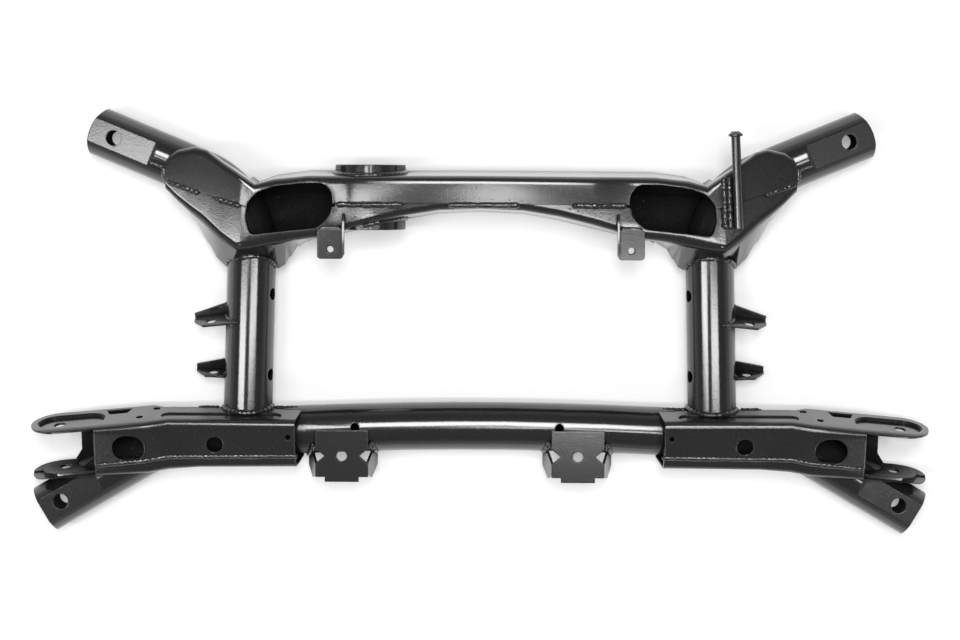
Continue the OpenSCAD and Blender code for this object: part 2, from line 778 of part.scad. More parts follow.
// tab under the beam with a fin along its inner edge
module beam_tab() {
    translate([0, bolt_row_spacing, tab_z]) {
        linear_extrude(sheet) difference() {
            polygon(rounded([[tab_x - tab_half, tab_rows[1]], [tab_x + tab_half, tab_rows[1]],
                [tab_x + tab_half, tab_rows[0]], [tab_x - tab_half, tab_rows[0]]], tab_round));
            translate([tab_x, tab_hole_row]) circle(d = tab_hole_diameter);
        }
        translate([tab_x - tab_half - sheet / 2, 0, 0]) rotate([90, 0, 90]) linear_extrude(sheet)
            polygon([[tab_rows[0] + tab_round, 0], [tab_rows[0] + tab_round, fin_height], [tab_rows[1], fin_height],
                [fin_top, sheet], [fin_top, 0]]);
    }
}

module beam_tab_right() {
    color("dimgray") beam_tab();
}

module beam_tab_left() {
    color("dimgray") mirror([1, 0, 0]) beam_tab();
}

module beam_tab_nuts() {
    color("silver") for (side = [-1, 1])
        translate([side * tab_x, bolt_row_spacing + tab_hole_row, tab_z - weld_gap / 2 - nut_height]) difference() {
            cylinder(r = nut_r, h = nut_height, $fn = 6);
            translate([0, 0, -over]) cylinder(d = nut_hole_diameter, h = nut_height + 2 * over);
        }
}

module hanger_pin() {
    slope = atan((near_face[3][1] - near_face[4][1]) / (near_face[4][0] - near_face[3][0]));
    color("dimgray") translate([pin_x, bolt_row_spacing + pin_front, lookup(pin_x, near_face)]) rotate([0, slope, 0])
        translate([0, 0, pin_diameter / 2 + weld_gap]) rotate([90, 0, pin_turn]) {
            cylinder(d = pin_diameter, h = pin_length);
            translate([0, 0, -pin_rim]) cylinder(d = pin_head_diameter, h = pin_rim);
            translate([0, 0, -pin_head_height])
                cylinder(d1 = pin_crown_diameter, d2 = pin_head_diameter, h = pin_head_height - pin_rim);
        }
}

// Piece to draw, or all of them

rear_cross_tube();
side_tube_left();
side_tube_right();
front_upper_shell();
front_lower_shell();
bush_sleeve();
link_upper_shell_left();
link_upper_shell_right();
link_lower_shell_left();
link_lower_shell_right();
link_ear_front_left();
link_ear_front_right();
link_ear_rear_left();
link_ear_rear_right();
drive_bracket_left();
drive_bracket_right();
beam_tab_left();
beam_tab_right();
beam_tab_nuts();
hanger_pin();
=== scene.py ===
"""Looks of a welded rear suspension subframe: gloss black paint, weld beads and the studio around them."""

import math

import bmesh
import bpy
import numpy as np
from mathutils import Matrix, Vector


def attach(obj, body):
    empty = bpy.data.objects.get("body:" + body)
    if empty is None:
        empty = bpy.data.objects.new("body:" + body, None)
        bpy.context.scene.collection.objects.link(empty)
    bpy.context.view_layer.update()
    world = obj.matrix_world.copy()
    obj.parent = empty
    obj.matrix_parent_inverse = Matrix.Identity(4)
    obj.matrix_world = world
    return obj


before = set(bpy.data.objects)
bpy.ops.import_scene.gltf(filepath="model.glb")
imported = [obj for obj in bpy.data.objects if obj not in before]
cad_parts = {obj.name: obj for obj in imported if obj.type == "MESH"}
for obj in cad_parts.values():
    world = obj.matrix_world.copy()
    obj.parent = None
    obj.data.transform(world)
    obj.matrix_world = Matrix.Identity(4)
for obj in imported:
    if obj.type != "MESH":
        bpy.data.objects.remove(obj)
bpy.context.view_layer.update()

bl_info = {
    "name": "Rear Subframe Looks",
    "version": (1, 0, 0),
    "blender": (4, 5, 0),
    "location": "View3D > Sidebar > Subframe",
    "description": "Paint, weld beads and studio for a welded rear suspension subframe",
    "category": "Object",
}

MM = 0.001
BODY = "root"
SIDES = {"left": -1, "right": 1}
UP_X = (1.0, 0.0, 0.0)
UP_Y = (0.0, 1.0, 0.0)
UP_Z = (0.0, 0.0, 1.0)

# Tubes and sheet, in millimetres from the point midway between the rear body bolts
BOLT_ROW = 448.0
FRONT_BOLT_X = 450.0
FRONT_ARM = math.radians(22.4)
TUBE_R = 30.0
TUBE_Z = 30.0
SHEET = 3.0
RAIL_FOOT = (289.0, 88.0)
RAIL_SPLAY = math.radians(1.5)
BOW_RADIUS = 4400.0
BOW_ANGLE = math.radians(2.8)
CROSS_MID_Y = 93.7

# Lines across the front beam: distance from the middle, then height or distance from the front bolts
NEAR_FACE = ([0, 134, 160, 292, 386], [95, 95, 88, 88, 67])
SEAM = ([0, 200, 285, 340, 386], [-77.5, -77.5, -82, -66, -50])
TOP_NEAR = ([0, 211, 252], [-44, -45, -49])
TOP_FAR = ([0, 211, 252], [-37, -37.5, -43])
LOW_NEAR = (
    [0, 51, 95, 134, 160, 190, 210, 237, 251, 279, 298, 316, 338, 356, 370, 386],
    [-83, -85, -92, -101.5, -109, -118, -121, -123, -125, -131, -133.5, -120.5, -100.5, -88, -77.5, -62],
)
LOW_FAR = (
    [0, 51, 95, 134, 160, 190, 210, 227, 237, 244, 251, 279, 298, 316, 327, 338, 356, 370, 386],
    [-87.7, -90, -97.5, -107, -113, -120.5, -123.5, -132, -145.5, -156, -159.5, -158, -157.5, -157, -146,
     -127.5, -99, -78.5, -62.5],
)
BEAM_FAR_Z = 4.0
SKIRT_Z = 30.0
LAP_GAP = 0.1
GUSSET_END_X = 387.0
GUSSET_END_Z = 65.5

# Lines along a link bracket: distance from the middle, then local height or local row
LEAN = math.radians(14.0)
LINK_PIVOT_Y = 84.0
LINK_WEB = ([219, 382, 407, 553], [49, 49, 56, 56])
LINK_SEAM = ([219, 382, 553], [-12, -13.5, -31])
LINK_TOP = 33.0
LINK_BOTTOM = ([219, 345, 407, 553], [-30, -31, -36, -47])
LINK_UP = (0.0, -math.sin(LEAN), math.cos(LEAN))

# Ears, differential brackets, tabs, sleeve and pin
EAR = (332.0, 222.5, 44.0)
EAR_LEAN = math.radians(21.0)
EAR_ROWS = (0.0, -69.6)
EAR_TURNS = (math.radians(9.0), 0.0)
EAR_BACKS = (-21.0, -14.0)
EAR_CREST = 15.0
EAR_FLANGE = 17.0
EAR_ROOT = -16.0
DRIVE_PLACES = (-170.0, 121.0)
DRIVE_HALF = 32.5
DRIVE_PLATE_Z = 63.2
WING_FLARE = math.tan(math.radians(16.0))
TAB_X = 183.0
SLEEVE_X = -136.0
SLEEVE_R = 43.0
SLEEVE_Z = 43.2
PIN_FRONT = (306.0, 454.0)
PIN_TURN = math.tan(math.radians(3.0))

# Beads of the beam: seam stretches with their share of the bead, sleeve arc in degrees, numbers of points
SEAM_STRETCHES = (
    (-176, -94, 1.0),
    (-41, 48, 1.0),
    (110, 177, 1.0),
    (-325, -291, 0.9),
    (-384, -343, 0.9),
    (345, 384, 0.9),
)
SEAM_POINTS = 60
SEAM_DROP = 1.2
SEAM_SINK = 1.4
SEAM_TALL = 0.9
SLEEVE_POINTS = 90
SLEEVE_ARC = (-20, 100, 60)
SLEEVE_PROUD = 0.6
SLEEVE_ROOM = 1.4

# Beads of the link brackets: runs along X with their numbers of points, and the local place of the middle
LINK_SEAM_RUN = (223, 470, 160)
LINK_SEAM_DROP = 0.9
LINK_SEAM_SINK = 2.0
LINK_SEAM_TALL = 0.95
LINK_TACKS = ((224, 256, 20), (322, 350, 20))
LINK_FOOT_RUN = (224, 342, 60)
LINK_EDGE_Z = -1.8

# Beads of the side tubes: distance from the rail's foot, and the heights where saddle turns to plate
FOOT_RUN = 27.0
FOOT_POINTS = 120
FOOT_ROOM = 1.25
FOOT_SEAT = 0.3
FOOT_LEAST = 1.0
FOOT_PROUD = 0.8
FOOT_BLEND_Z = 33.0
FOOT_BLEND_SPAN = 7.0
BEAM_RUN = 212.0
BEAM_ARC = (4, 176, 80)
BEAM_SHARE = 0.9
BEAM_DROP = 0.4
BEAM_LIFT = 0.2
GUSSET_END_ROWS = (399.0, 416.0, 24)
GUSSET_END_PROUD = 0.2
GUSSET_END_LIFT = 1.0
GUSSET_END_COVER = 0.8

# Beads of the small brackets, with their numbers of points
EAR_FLANGE_START = 0.5
EAR_FLANGE_POINTS = 20
EAR_WEB_POINTS = 30
EAR_WEB_FACES = (1.9, -1.9)
DRIVE_ARC = (118, 172, 30)
DRIVE_PROUD = 1.6
DRIVE_LIFT = 0.4
TAB_BEAD_RUN = (-13.0, 13.0, 24)
TAB_BEAD_Y = 340.6
TAB_BEAD_Z = 85.9
TAB_SHARE = 0.8
TAB_TALL = 0.8
PIN_BEADS = ((-8.6, 404.0), (-15.0, 405.5))
PIN_BEAD_START = 341.0
PIN_POINTS = 40
PIN_LIFT = 0.4
PIN_TALL = 0.85
PIN_SWELL = 0.5
PIN_PITCH = 1.5

# Form of a bead: points a ripple, sides, ripple swell, uneven ripples, slow wander, lumps and rounded ends
RIPPLE_STEPS = 5.0
LEAST_STEPS = 6
BEAD_SIDES = 12
RIPPLE_SWELL = 0.16
RIPPLE_JITTER = 0.048
WANDER_TURNS = (2.0, 3.0, 5.0, 9.0)
WANDER_GAINS = (0.05, 0.05, 0.05, 0.04)
LUMPINESS = 0.035
END_REACH = 1.3
END_LEAST = 0.0025

# First random seed of each group of beads, and the seed of the spatter
SEEDS = {
    "spatter": 7,
    "beam_seam": 20,
    "sleeve_front": 31,
    "sleeve_rear": 32,
    "link_seam": 40,
    "link_tack": 44,
    "link_foot": 48,
    "rail_foot": 60,
    "rail_top": 64,
    "gusset_end": 68,
    "ear": 80,
    "drive": 100,
    "tab": 110,
    "pin": 120,
}

# Spatter: stretches of the beam seam with their number of balls, spread and sizes in millimetres
BEAM_SPATTER = ((-178, -92, 18), (-45, 52, 14), (106, 200, 26), (-330, -295, 8), (330, 380, 8))
BEAM_SPREAD = 13.0
BEAM_SPATTER_EDGES = (12.0, 24.0)
BEAM_BALLS = (0.5, 1.2)
LINK_SPATTER = (226, 466, 22)
LINK_SPREAD = 7.0
LINK_SPATTER_ROWS = (2.0, 22.0)
LINK_BALLS = (0.4, 0.9)
BALL_SIDES = 8
BALL_RINGS = 5
BALL_POLE = 0.25
BALL_SQUASH = 0.7
BALL_ASIDE = (0.3, 0.9, 0.31)

# Paint: waves a metre, strengths and heights of the bumps, and the limits between which a pattern fades
PEEL = (420.0, 0.08, 0.0004)
LUMPS = (210.0, 0.55, 0.0009)
NOISE_DETAIL = 3.0
SPECK_SCALE = 760.0
SPECK_DETAIL = 2.0
SPECK_LIMITS = (0.63, 0.74)
CLOUD_SCALE = 9.0
CLOUD_DETAIL = 4.0
CLOUD_LIMITS = (0.3, 0.7)
CLOUD_SPREAD = (-0.07, 0.09)
GLOSS_IOR = 1.7
BEAD_GLOSS = 0.65
SHEEN = 0.06
# Painted shade in hollows: reach, samples and limits of the ambient occlusion that takes the gloss off the
# paint
PAINTED_SHADE_REACH = 0.15
PAINTED_SHADE_SAMPLES = 8
PAINTED_SHADE_LIMITS = (0.42, 0.66)
EDGE_SAMPLES = 4
CREASE = math.radians(31.0)
WELD_POINTS = 2e-6
FLAT_WEIGHT = 100

# Studio, in metres: each softbox from one corner to the other, with its share of the lamps' brightness
SOFTBOX_Z = 6.0
SOFTBOXES = (
    ("softbox_left", (-5.8, -0.62), (-1.9, -0.05), 1.0),
    ("softbox_right", (0.05, -0.45), (3.7, -0.08), 1.0),
    ("softbox_front", (-0.8, 0.85), (0.9, 2.9), 1.0),
    ("softbox_corner", (-1.9, 0.14), (-0.75, 0.5), 0.75),
    ("softbox_middle", (-0.12, 0.17), (0.34, 0.5), 0.75),
    ("softbox_rear_left", (-3.1, -4.9), (-2.1, -3.7), 1.0),
    ("softbox_rear_right", (2.1, -4.9), (3.1, -3.7), 1.0),
)
FLOOR_HALF = 6.0
FLOOR_Z = -0.0003
FLOOR_ROUGHNESS = 0.9
FLOOR_GLOW = 0.25
WALL_TOP = 0.12
CEILING_START = 0.5
CAMERA_AIM = (-0.0006, 0.2255, 0.03)
CAMERA_DISTANCE = 3.0
CAMERA_TILT = math.radians(4.0)
CAMERA_ROLL = math.radians(0.3)
SENSOR_WIDTH = 36.0
PICTURE_WIDTH_PX = 960.0
MM_PER_PX = 1.24


class SubframePaint(bpy.types.PropertyGroup):
    """Finish of the painted steel."""

    colour: bpy.props.FloatVectorProperty(
        name="Colour",
        description="Paint colour",
        subtype="COLOR",
        size=3,
        min=0,
        max=1,
        default=(0.011, 0.011, 0.012),
    )
    speck: bpy.props.FloatVectorProperty(
        name="Speck colour",
        description="Colour of the fine specks in the paint",
        subtype="COLOR",
        size=3,
        min=0,
        max=1,
        default=(0.045, 0.045, 0.047),
    )
    roughness: bpy.props.FloatProperty(
        name="Roughness",
        description="Roughness of the paint under its gloss",
        subtype="FACTOR",
        min=0,
        max=1,
        default=0.34,
    )
    gloss_roughness: bpy.props.FloatProperty(
        name="Gloss roughness",
        description="Roughness of the gloss layer",
        subtype="FACTOR",
        min=0,
        max=1,
        default=0.12,
    )
    edge_radius: bpy.props.FloatProperty(
        name="Edge radius",
        description="Radius that the paint gives to sheared edges",
        subtype="DISTANCE",
        unit="LENGTH",
        min=0,
        default=0.002,
    )


class SubframeWelds(bpy.types.PropertyGroup):
    """Sizes of the weld beads."""

    seam_radius: bpy.props.FloatProperty(
        name="Seam bead",
        description="Half width of the beads along the beam seam",
        subtype="DISTANCE",
        unit="LENGTH",
        min=0.001,
        default=0.0036,
    )
    link_radius: bpy.props.FloatProperty(
        name="Link bead",
        description="Half width of the beads along the link brackets",
        subtype="DISTANCE",
        unit="LENGTH",
        min=0.001,
        default=0.0034,
    )
    tube_radius: bpy.props.FloatProperty(
        name="Tube bead",
        description="Half width of the beads round the tubes",
        subtype="DISTANCE",
        unit="LENGTH",
        min=0.001,
        default=0.0034,
    )
    tack_radius: bpy.props.FloatProperty(
        name="Bracket bead",
        description="Half width of the beads at the small brackets",
        subtype="DISTANCE",
        unit="LENGTH",
        min=0.001,
        default=0.0029,
    )
    ear_radius: bpy.props.FloatProperty(
        name="Ear bead",
        description="Half width of the beads at the upper link ears",
        subtype="DISTANCE",
        unit="LENGTH",
        min=0.001,
        default=0.002,
    )
    pin_radius: bpy.props.FloatProperty(
        name="Pin bead",
        description="Half width of the two beads beside the hanger pin",
        subtype="DISTANCE",
        unit="LENGTH",
        min=0.001,
        default=0.003,
    )
    pitch: bpy.props.FloatProperty(
        name="Ripple",
        description="Distance from ripple to ripple along a bead",
        subtype="DISTANCE",
        unit="LENGTH",
        min=0.001,
        default=0.0062,
    )


class SubframeStage(bpy.types.PropertyGroup):
    """Studio round the part."""

    floor: bpy.props.FloatVectorProperty(
        name="Floor",
        description="Floor colour",
        subtype="COLOR",
        size=3,
        min=0,
        max=1,
        default=(0.86, 0.86, 0.86),
    )
    lamp: bpy.props.FloatProperty(
        name="Softbox light",
        description="Brightness of the softboxes' faces against white",
        min=0,
        default=15.0,
    )
    ceiling: bpy.props.FloatProperty(
        name="Ceiling light",
        description="Strength of the room light from above",
        min=0,
        default=0.18,
    )
    walls: bpy.props.FloatProperty(
        name="Wall light",
        description="Strength of the room light from the sides",
        min=0,
        default=0.6,
    )


def across(line, x):
    """Value of a line of the beam or bracket at the places x: straight between its given places, and the
    same left and right."""
    return np.interp(np.abs(x), *line)


def row(line, x):
    """Y of a line of the beam at the places x: the front bolts' row plus the line's distance from it."""
    return BOLT_ROW + across(line, x)


def ring(middle_x, middle_z, radius, angles):
    """X and Z of a circle square to Y: middle + radius * (cos a, sin a)."""
    return middle_x + radius * np.cos(angles), middle_z + radius * np.sin(angles)


def turned(y, z, angle):
    """Y and Z turned by an angle about X: (y cos - z sin, y sin + z cos)."""
    return y * math.cos(angle) - z * math.sin(angle), y * math.sin(angle) + z * math.cos(angle)


def link_point(x, y, z):
    """Points of a link bracket: its own frame turned by the lean about X and set on the pivot line."""
    y, z = turned(y, z, LEAN)
    return np.stack([x, LINK_PIVOT_Y + y, TUBE_Z + z], axis=-1)


def ear_point(k, x, y, z):
    """Points of an ear: its own frame turned in plan, moved along the bolt, leaned and set on the bolt."""
    turn = EAR_TURNS[k]
    u = x * math.cos(turn) + y * math.sin(turn)
    v = EAR_ROWS[k] - x * math.sin(turn) + y * math.cos(turn)
    y, z = turned(v, z, EAR_LEAN)
    return np.stack([EAR[0] + u, EAR[1] + y, EAR[2] + z], axis=-1)


def rail_x(run):
    """X of the right rail's axis at a distance from its foot: foot - distance * sin(splay)."""
    return RAIL_FOOT[0] - run * math.sin(RAIL_SPLAY)


def on_rail(points):
    """The points moved along X to the outer side of the right rail: its axis plus the half width of its
    circle at their height."""
    half = np.sqrt(np.maximum(TUBE_R**2 - (points[:, 2] - TUBE_Z) ** 2, 0.0))
    return np.stack([rail_x(points[:, 1] - RAIL_FOOT[1]) + half, points[:, 1], points[:, 2]], axis=1)


def wall_y(near_line, far_line, x, z, near, far):
    """Y of a wall of the beam: straight by height, from its line at near to its line at far."""
    return row(near_line, x) + (row(far_line, x) - row(near_line, x)) * (near - z) / (near - far)


def top_y(x, z):
    """Y of the beam's front wall at the places x and heights z."""
    return wall_y(TOP_NEAR, TOP_FAR, x, z, across(NEAR_FACE, x), BEAM_FAR_Z)


def skirt_y(x, z):
    """Y of the beam's lower wall and skirt at the places x and heights z."""
    return wall_y(LOW_NEAR, LOW_FAR, x, z, across(NEAR_FACE, x) - SHEET - LAP_GAP, SKIRT_Z)


def cross_y(x):
    """Y of the cross tube's axis: an arc in the middle, then the straight line that leaves it."""
    x = np.abs(x)
    end = BOW_RADIUS * math.sin(BOW_ANGLE)
    arc = CROSS_MID_Y - BOW_RADIUS + np.sqrt(BOW_RADIUS**2 - np.minimum(x, end) ** 2)
    return arc - np.maximum(x - end, 0.0) * math.tan(BOW_ANGLE)


def mirrored(path, side):
    """The path itself on the right, its mirror image on the left."""
    return path * np.array([side, 1.0, 1.0])


def resampled(path, step, closed):
    """Points at equal steps along a path, their distances from its start, and its length."""
    if closed:
        path = np.vstack([path, path[:1]])
    run = np.concatenate([[0.0], np.cumsum(np.linalg.norm(np.diff(path, axis=0), axis=1))])
    count = max(int(round(run[-1] / step)), LEAST_STEPS)
    places = np.linspace(0.0, run[-1], count + 1)
    if closed:
        places = places[:-1]
    points = np.stack([np.interp(places, run, path[:, i]) for i in range(3)], axis=1)
    return points, places, run[-1]


def bead_axes(points, up, closed):
    """Two directions square to a path at each point: one square to up as well, and one nearest to up."""
    if closed:
        tangent = np.roll(points, -1, axis=0) - np.roll(points, 1, axis=0)
    else:
        tangent = np.gradient(points, axis=0)
    tangent /= np.linalg.norm(tangent, axis=1, keepdims=True)
    side = np.cross(tangent, np.broadcast_to(np.asarray(up, float), points.shape))
    side /= np.linalg.norm(side, axis=1, keepdims=True)
    return side, np.cross(side, tangent)


def bead(path_mm, radius, pitch, seed, tall=1.0, up=UP_Z, closed=False, swell=RIPPLE_SWELL):
    """Weld bead: an ellipse carried along a path.
    Point(s, a) = path(s) + r(s) * lump(s, a) * (cos a * side + tall * sin a * lift), with side and lift
    square to the path.
    r(s) = radius * end(s) * (1 + swell * |sin(pi * s / pitch)| + slow wander), with the ripples a little
    uneven, and end(s) is the quarter ellipse that closes each open end."""
    rng = np.random.default_rng(seed)
    points, s, length = resampled(np.asarray(path_mm, float) * MM, pitch / RIPPLE_STEPS, closed)
    count = len(points)
    side, lift = bead_axes(points, up, closed)
    phase = rng.uniform(0, 2 * math.pi, len(WANDER_TURNS))
    wander = np.sin(2 * math.pi * np.outer(s / length, WANDER_TURNS) + phase) @ np.array(WANDER_GAINS)
    uneven = rng.normal(0.0, RIPPLE_JITTER, count) * pitch
    r = radius * (1.0 + swell * np.abs(np.sin(math.pi * (s + uneven) / pitch)) + wander)
    if not closed:
        t = np.clip(np.minimum(s, length - s) / (END_REACH * radius), 0.0, 1.0)
        r = r * np.sqrt(np.clip(1.0 - (1.0 - t) ** 2, END_LEAST, 1.0))
    lumps = 1.0 + rng.normal(0.0, LUMPINESS, (count, BEAD_SIDES))
    if np.ndim(tall):
        tall = np.interp(s / length, np.linspace(0, 1, len(tall)), tall)
    tall = np.broadcast_to(tall, (count,))
    a = np.linspace(0.0, 2 * math.pi, BEAD_SIDES, endpoint=False)
    sideways = np.cos(a)[None, :, None] * side[:, None, :]
    upwards = (np.sin(a)[None, :] * tall[:, None])[:, :, None] * lift[:, None, :]
    grid = points[:, None, :] + (r[:, None] * lumps)[:, :, None] * (sideways + upwards)
    return tube_faces(grid, closed)


def tube_faces(grid, closed):
    """Closed skin over rings of points: quads from ring to ring, and a fan to a middle at each open end."""
    count, around = grid.shape[:2]
    i = np.arange(count if closed else count - 1)[:, None]
    j = np.arange(around)[None, :]
    i2, j2 = (i + 1) % count, (j + 1) % around
    quads = np.stack([i * around + j, i2 * around + j, i2 * around + j2, i * around + j2], axis=-1)
    quads = quads.reshape(-1, 4)
    points = grid.reshape(-1, 3)
    if closed:
        return points, quads, np.zeros((0, 3), int)
    ends = np.stack([grid[0].mean(axis=0), grid[-1].mean(axis=0)])
    first = np.arange(around)
    following = (first + 1) % around
    last = (count - 1) * around
    fans = np.concatenate(
        [
            np.stack([np.full(around, len(points)), first, following], axis=1),
            np.stack([np.full(around, len(points) + 1), last + following, last + first], axis=1),
        ]
    )
    return np.vstack([points, ends]), quads, fans


def ball(centre, normal, radius):
    """Spatter ball: rings of a sphere, squashed a little along the normal, closed at both poles.
    Point(u, a) = centre + radius * (sin u * (cos a * e1 + sin a * e2) + squash * cos u * normal)."""
    normal = np.asarray(normal, float) / np.linalg.norm(normal)
    e1 = np.cross(normal, BALL_ASIDE)
    e1 /= np.linalg.norm(e1)
    e2 = np.cross(normal, e1)
    u = np.linspace(BALL_POLE, math.pi - BALL_POLE, BALL_RINGS)[:, None, None]
    a = np.linspace(0.0, 2 * math.pi, BALL_SIDES, endpoint=False)
    flat = np.cos(a)[:, None] * e1 + np.sin(a)[:, None] * e2
    grid = np.asarray(centre) + radius * (np.sin(u) * flat + BALL_SQUASH * np.cos(u) * normal)
    return tube_faces(grid, False)


def piece(name, parts, material):
    """One object from several closed skins, its place in its mesh, faces turned outwards."""
    points, faces, start = [], [], 0
    for verts, quads, fans in parts:
        points.append(verts)
        faces += (quads + start).tolist() + (fans + start).tolist()
        start += len(verts)
    mesh = bpy.data.meshes.new(name)
    mesh.from_pydata(np.vstack(points).tolist(), [], faces)
    mesh.polygons.foreach_set("use_smooth", np.ones(len(mesh.polygons), bool))
    mesh.update()
    obj = bpy.data.objects.new(name, mesh)
    bpy.context.scene.collection.objects.link(obj)
    turn_outwards(mesh)
    mesh.materials.append(material)
    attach(obj, BODY)


def turn_outwards(mesh):
    """Recalculates the normals of closed skins so that they point outwards."""
    work = bmesh.new()
    work.from_mesh(mesh)
    bmesh.ops.recalc_face_normals(work, faces=work.faces)
    work.to_mesh(mesh)
    work.free()


def noise(tree, scale, detail):
    """Noise on the object's own coordinates, its scale in waves a metre."""
    node = tree.nodes.new("ShaderNodeTexNoise")
    node.inputs["Scale"].default_value = scale
    node.inputs["Detail"].default_value = detail
    tree.links.new(tree.nodes.new("ShaderNodeTexCoord").outputs["Object"], node.inputs["Vector"])
    return node.outputs["Fac"]


def ranged(tree, value, limits, results):
    """A value carried from one range to another, and held at its ends."""
    node = tree.nodes.new("ShaderNodeMapRange")
    for socket, number in zip(("From Min", "From Max", "To Min", "To Max"), (*limits, *results)):
        node.inputs[socket].default_value = number
    tree.links.new(value, node.inputs["Value"])
    return node.outputs["Result"]


def bumped(tree, normal, scale, strength, height):
    """A normal, or the surface's own, roughened by noise of a scale, a strength and a height in metres."""
    node = tree.nodes.new("ShaderNodeBump")
    node.inputs["Strength"].default_value = strength
    node.inputs["Distance"].default_value = height
    tree.links.new(noise(tree, scale, NOISE_DETAIL), node.inputs["Height"])
    if normal is not None:
        tree.links.new(normal, node.inputs["Normal"])
    return node.outputs["Normal"]


def gloss_black(name, gloss):
    """Gloss black paint over steel, with fine specks and a cloudy base under the gloss."""
    paint = bpy.context.scene.subframe_paint
    material = bpy.data.materials.new(name)
    material.use_nodes = True
    tree = material.node_tree
    shader = tree.nodes["Principled BSDF"]
    shader.inputs["Metallic"].default_value = 0.0
    shader.inputs["Coat Weight"].default_value = 1.0
    shader.inputs["Coat Roughness"].default_value = gloss * paint.gloss_roughness
    shader.inputs["Coat IOR"].default_value = GLOSS_IOR
    shader.inputs["Specular IOR Level"].default_value = SHEEN
    cloud = noise(tree, CLOUD_SCALE, CLOUD_DETAIL)
    rough = ranged(tree, cloud, CLOUD_LIMITS, [paint.roughness + change for change in CLOUD_SPREAD])
    tree.links.new(rough, shader.inputs["Roughness"])
    mix = tree.nodes.new("ShaderNodeMix")
    mix.data_type = "RGBA"
    mix.inputs["A"].default_value = (*paint.colour, 1.0)
    mix.inputs["B"].default_value = (*paint.speck, 1.0)
    specks = ranged(tree, noise(tree, SPECK_SCALE, SPECK_DETAIL), SPECK_LIMITS, (0.0, 1.0))
    tree.links.new(specks, mix.inputs["Factor"])
    tree.links.new(mix.outputs["Result"], shader.inputs["Base Color"])
    return material, tree, shader


def frame_paint():
    """Paint of the tubes, shells and brackets: orange peel, rounded edges, and painted shade in hollows,
    where ambient occlusion takes away the gloss.
    """
    material, tree, shader = gloss_black("frame_paint", 1.0)
    # Painted shade: ambient occlusion takes the coat and sheen off the paint in hollows and corners, so
    # they render darker
    shade_ao = tree.nodes.new("ShaderNodeAmbientOcclusion")
    shade_ao.samples = PAINTED_SHADE_SAMPLES
    shade_ao.inputs["Distance"].default_value = PAINTED_SHADE_REACH
    unshaded_share = ranged(tree, shade_ao.outputs["AO"], PAINTED_SHADE_LIMITS, (0.0, 1.0))
    tree.links.new(unshaded_share, shader.inputs["Coat Weight"])
    tree.links.new(ranged(tree, unshaded_share, (0.0, 1.0), (0.0, SHEEN)), shader.inputs["Specular IOR Level"])
    edge = tree.nodes.new("ShaderNodeBevel")
    edge.samples = EDGE_SAMPLES
    edge.inputs["Radius"].default_value = bpy.context.scene.subframe_paint.edge_radius
    normal = bumped(tree, edge.outputs["Normal"], *PEEL)
    for socket in ("Normal", "Coat Normal"):
        tree.links.new(normal, shader.inputs[socket])
    return material


def weld_paint():
    """Paint of the beads and the spatter: a sharper gloss, with lumps over the orange peel. Made once."""
    found = bpy.data.materials.get("weld_paint")
    if found:
        return found
    material, tree, shader = gloss_black("weld_paint", BEAD_GLOSS)
    normal = bumped(tree, bumped(tree, None, *PEEL), *LUMPS)
    for socket in ("Normal", "Coat Normal"):
        tree.links.new(normal, shader.inputs[socket])
    return material


def smooth_group():
    """Modifier nodes that join a node's loose triangles and shade it smooth, with creases kept sharp."""
    group = bpy.data.node_groups.new("smooth_pressing", "GeometryNodeTree")
    group.interface.new_socket("Geometry", in_out="INPUT", socket_type="NodeSocketGeometry")
    group.interface.new_socket("Geometry", in_out="OUTPUT", socket_type="NodeSocketGeometry")
    start = group.nodes.new("NodeGroupInput")
    end = group.nodes.new("NodeGroupOutput")
    merge = group.nodes.new("GeometryNodeMergeByDistance")
    merge.inputs["Distance"].default_value = WELD_POINTS
    faces = group.nodes.new("GeometryNodeSetShadeSmooth")
    faces.domain = "FACE"
    edges = group.nodes.new("GeometryNodeSetShadeSmooth")
    edges.domain = "EDGE"
    edges.inputs["Shade Smooth"].default_value = False
    angle = group.nodes.new("GeometryNodeInputMeshEdgeAngle")
    sharp = group.nodes.new("FunctionNodeCompare")
    sharp.data_type = "FLOAT"
    sharp.operation = "GREATER_THAN"
    sharp.inputs[1].default_value = CREASE
    group.links.new(start.outputs[0], merge.inputs["Geometry"])
    group.links.new(merge.outputs["Geometry"], faces.inputs["Geometry"])
    group.links.new(faces.outputs["Geometry"], edges.inputs["Geometry"])
    group.links.new(angle.outputs["Unsigned Angle"], sharp.inputs[0])
    group.links.new(sharp.outputs["Result"], edges.inputs["Selection"])
    group.links.new(edges.outputs["Geometry"], end.inputs[0])
    return group


class SUBFRAME_OT_paint(bpy.types.Operator):
    """Paint every tube, shell and bracket, and shade the pressings smooth."""

    bl_idname = "subframe.paint"
    bl_label = "Paint the Frame"

    def execute(self, context):
        material = frame_paint()
        group = smooth_group()
        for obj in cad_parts.values():
            obj.data.materials.clear()
            obj.data.materials.append(material)
            smooth = obj.modifiers.new("smooth_pressing", "NODES")
            smooth.node_group = group
            flats = obj.modifiers.new("flat_faces", "WEIGHTED_NORMAL")
            flats.mode = "FACE_AREA"
            flats.weight = FLAT_WEIGHT
            flats.keep_sharp = True
        return {"FINISHED"}


